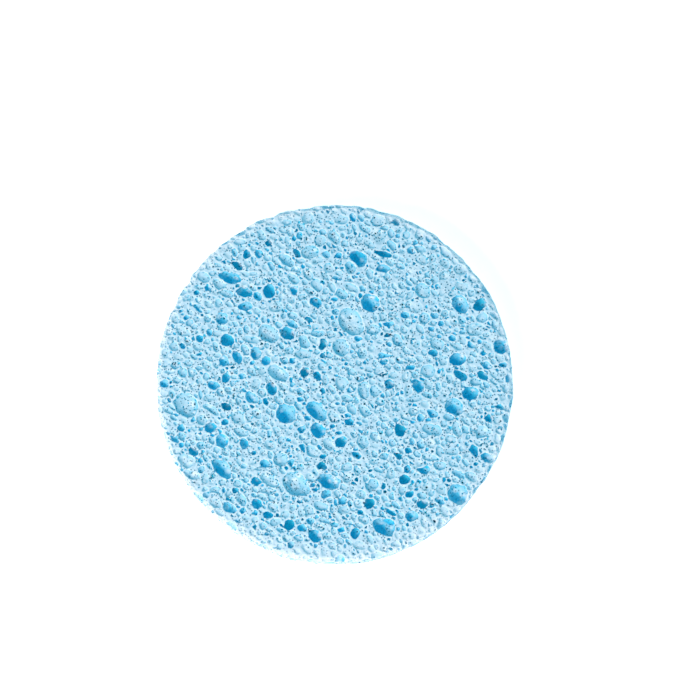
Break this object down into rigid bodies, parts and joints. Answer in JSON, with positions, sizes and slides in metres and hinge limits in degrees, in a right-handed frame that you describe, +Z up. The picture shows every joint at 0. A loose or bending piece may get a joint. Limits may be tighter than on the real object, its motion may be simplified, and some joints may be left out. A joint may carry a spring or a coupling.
{
  "type": "round cellulose sponge",
  "caption": "Flat round disc of pale blue open-celled cellulose foam, with cut-open cells of many sizes on every face, used for wiping and cleaning.",
  "frame": {"origin": "centre of the flat resting face", "axes": "+Z up through the thickness, from the resting face to the top face; X and Y lie in the resting face, and -Y is the side nearest to a person who looks down on it"},
  "size_m": [0.08, 0.08, 0.01],
  "materials": {
    "sponge_foam": "dry open-celled cellulose foam, matt, pale sky blue, deeper azure inside the cells"
  },
  "bodies": {
    "root": {"sponge": "sponge_foam"}
  },
  "joints": []
}
